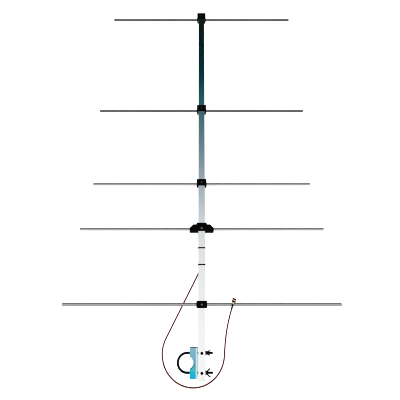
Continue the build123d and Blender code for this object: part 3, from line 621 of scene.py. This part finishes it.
# Heat-shrink sleeve: outer and inner half-profile, with soft wrinkles round the outside
SLEEVE_SEGMENTS = 56
SLEEVE_OUTER = [
    (-16.0, 2.95), (-15.7, 3.08), (-13.0, 3.05), (-9.0, 3.1), (-4.4, 3.15),
    (-2.4, 3.7), (-1.0, 3.78), (0.2, 3.76), (0.4, 3.66),
]
SLEEVE_INNER = [(0.4, 3.5), (-1.6, 3.45), (-2.0, 2.55), (-16.0, 2.55)]
SLEEVE_STEP = 0.4
WRINKLE_DEPTH = 0.07
WRINKLES_ROUND = 1.3
WRINKLES_ALONG = 0.35


def finer(profile, step):
    """The profile's points, with more between them at about one step."""
    points = []
    for (x0, r0), (x1, r1) in zip(profile, profile[1:]):
        count = max(1, round((x1 - x0) / step))
        points += [(x0 + (x1 - x0) * i / count, r0 + (r1 - r0) * i / count) for i in range(count)]
    return points + [profile[-1]]


def wrinkled(x, radius):
    """The sleeve's outer radii round one ring, in millimetres."""
    radii = []
    for j in range(SLEEVE_SEGMENTS):
        angle = 2 * pi * j / SLEEVE_SEGMENTS
        spot = (cos(angle) * WRINKLES_ROUND, sin(angle) * WRINKLES_ROUND, x * WRINKLES_ALONG)
        radii.append(radius + WRINKLE_DEPTH * noise.noise(Vector(spot)))
    return radii


def add_heat_shrink():
    joint = ring_joint()
    axis = Vector(joint["axis"]).normalized()
    origin = Vector(joint["pos_m"])
    across = axis.cross(UP)
    stations = [(x, wrinkled(x, r)) for x, r in finer(SLEEVE_OUTER, SLEEVE_STEP)]
    stations += [(x, [r] * SLEEVE_SEGMENTS) for x, r in SLEEVE_INNER]
    rings = [circle(origin + axis * x * MM, across, UP, [r * MM for r in radii]) for x, radii in stations]
    add_piece("shrunk_sleeve", skin(rings, closed=True), "heat_shrink", sharp_angle=50.0)


add_u_bolt()
add_wing_nut("upper_wing_nut", 1, UPPER_WINGS_TURN)
add_wing_nut("lower_wing_nut", -1, 0.0)
add_heat_shrink()

# ---------------------------------------------------------------- stage, light and camera

# The view: a camera above the reflector, leaning forward along the boom
reflector_low, reflector_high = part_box("reflector_element")
boom_low, boom_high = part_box("boom")
CAMERA_HEIGHT = 1.380
CAMERA_LEFT_OF_BOOM = 0.0065
CAMERA_TILT = radians(16.18)
LENS_MM = 32.4
SENSOR_MM = 36.0
CAMERA_REACH = 50.0
FLOOR_GAP = 0.0005
FLOOR_HALF_SIZE = 12.0
FLOOR_GLOW = 0.62


def add_floor():
    """A wide pale floor just under the antenna."""
    mesh = bpy.data.meshes.new("floor")
    corners = [(x * FLOOR_HALF_SIZE, y * FLOOR_HALF_SIZE) for x, y in ((-1, -1), (1, -1), (1, 1), (-1, 1))]
    z = cad_low[2] - FLOOR_GAP
    mesh.from_pydata([(x, y, z) for x, y in corners], [], [(0, 1, 2, 3)])
    floor = bpy.data.objects.new("floor", mesh)
    bpy.context.scene.collection.objects.link(floor)
    g = Graph("floor_paper")
    fibres = g.noise(220.0, detail=4.0)
    paper = g.ramp(fibres, [(0.3, (0.90, 0.90, 0.90)), (0.7, (0.93, 0.93, 0.93))])
    glow = {"Emission_Color": (1.0, 1.0, 1.0, 1.0), "Emission_Strength": FLOOR_GLOW}
    g.surface(paper, 0.9, Specular_IOR_Level=0.1, **glow)
    mesh.materials.append(g.material)
    floor.visible_glossy = False


# What polished metal sees: white overhead and behind, falling to dark teal ahead of the boom.
# Each stop is (sine of the angle ahead of the vertical, linear colour).
SKY_STOPS = [
    (-1.0, (0.62, 0.62, 0.60)),
    (-0.45, (0.80, 0.80, 0.79)),
    (-0.13, (1.0, 1.0, 1.0)),
    (0.04, (0.91, 0.91, 0.91)),
    (0.17, (0.79, 0.81, 0.80)),
    (0.24, (0.62, 0.67, 0.71)),
    (0.28, (0.47, 0.545, 0.595)),
    (0.34, (0.34, 0.41, 0.44)),
    (0.38, (0.206, 0.30, 0.376)),
    (0.42, (0.14, 0.23, 0.29)),
    (0.48, (0.060, 0.168, 0.190)),
    (0.53, (0.008, 0.105, 0.130)),
    (0.57, (0.0, 0.026, 0.044)),
    (0.66, (0.0, 0.006, 0.004)),
    (0.84, (0.04, 0.05, 0.05)),
    (1.0, (0.12, 0.13, 0.13)),
]
# The dark end is lighter to the sides, below the horizon the room is dim, and far aside stand pale walls.
# Each range is of the sine of the angle aside, or of the angle above the horizon.
SIDE_LIGHT, SIDE_RANGE = (0.12, 0.14, 0.135), (0.20, 0.50)
BELOW, HORIZON_RANGE = (0.10, 0.10, 0.095), (-0.25, 0.05)
WALLS, WALL_RANGE = (0.62, 0.63, 0.62), (0.55, 0.92)


def background(g, color):
    node = g.add("ShaderNodeBackground")
    g.feed(color, node.inputs["Color"])
    return node.outputs["Background"]


def add_sky():
    """A soft white studio; only mirror-like reflections see the darker end of the room."""
    world = bpy.data.worlds.new("studio")
    bpy.context.scene.world = world
    # Sampled as a light, the world would show polished metal its white side too
    world.cycles.sampling_method = "NONE"
    g = Nodes(world)
    toward = g.add("ShaderNodeTexCoord").outputs["Generated"]
    ahead = g.rise(g.part(toward, "Y"), -1.0, 1.0)
    aside = g.math("ABSOLUTE", g.part(toward, "X"))
    room = g.ramp(ahead, [((sine + 1.0) / 2.0, color) for sine, color in SKY_STOPS])
    side = g.mix(g.rise(aside, *SIDE_RANGE), (0.0, 0.0, 0.0, 1.0), (*SIDE_LIGHT, 1.0))
    room = g.mix(1.0, room, side, blend="LIGHTEN")
    room = g.mix(g.rise(g.part(toward, "Z"), *HORIZON_RANGE), (*BELOW, 1.0), room)
    room = g.mix(g.rise(aside, *WALL_RANGE), room, (*WALLS, 1.0))
    choose = g.add("ShaderNodeMixShader")
    g.join(g.add("ShaderNodeLightPath").outputs["Is Glossy Ray"], choose.inputs["Fac"])
    g.join(background(g, (1.0, 1.0, 1.0, 1.0)), choose.inputs[1])
    g.join(background(g, room), choose.inputs[2])
    g.join(choose.outputs["Shader"], g.add("ShaderNodeOutputWorld").inputs["Surface"])


def add_camera():
    camera_data = bpy.data.cameras.new("camera")
    camera_data.lens = LENS_MM
    camera_data.sensor_width = SENSOR_MM
    camera_data.clip_end = CAMERA_REACH
    camera = bpy.data.objects.new("camera", camera_data)
    boom_x = (boom_low.x + boom_high.x) / 2
    reflector_y = (reflector_low.y + reflector_high.y) / 2
    camera.location = (boom_x - CAMERA_LEFT_OF_BOOM, reflector_y, CAMERA_HEIGHT)
    camera.rotation_euler = (CAMERA_TILT, 0.0, 0.0)
    bpy.context.scene.collection.objects.link(camera)
    bpy.context.scene.camera = camera


# The polished boom mirrors the room, not the blocks that stand on it
for subpart in frame["record"]["subparts"]:
    if subpart["material_slot"] in ("holder", "housing", "screw"):
        nodes[subpart["node"]].visible_glossy = False

add_floor()
add_sky()
add_camera()
bpy.context.scene.view_settings.view_transform = "Standard"
bpy.context.scene.cycles.filter_width = 1.0
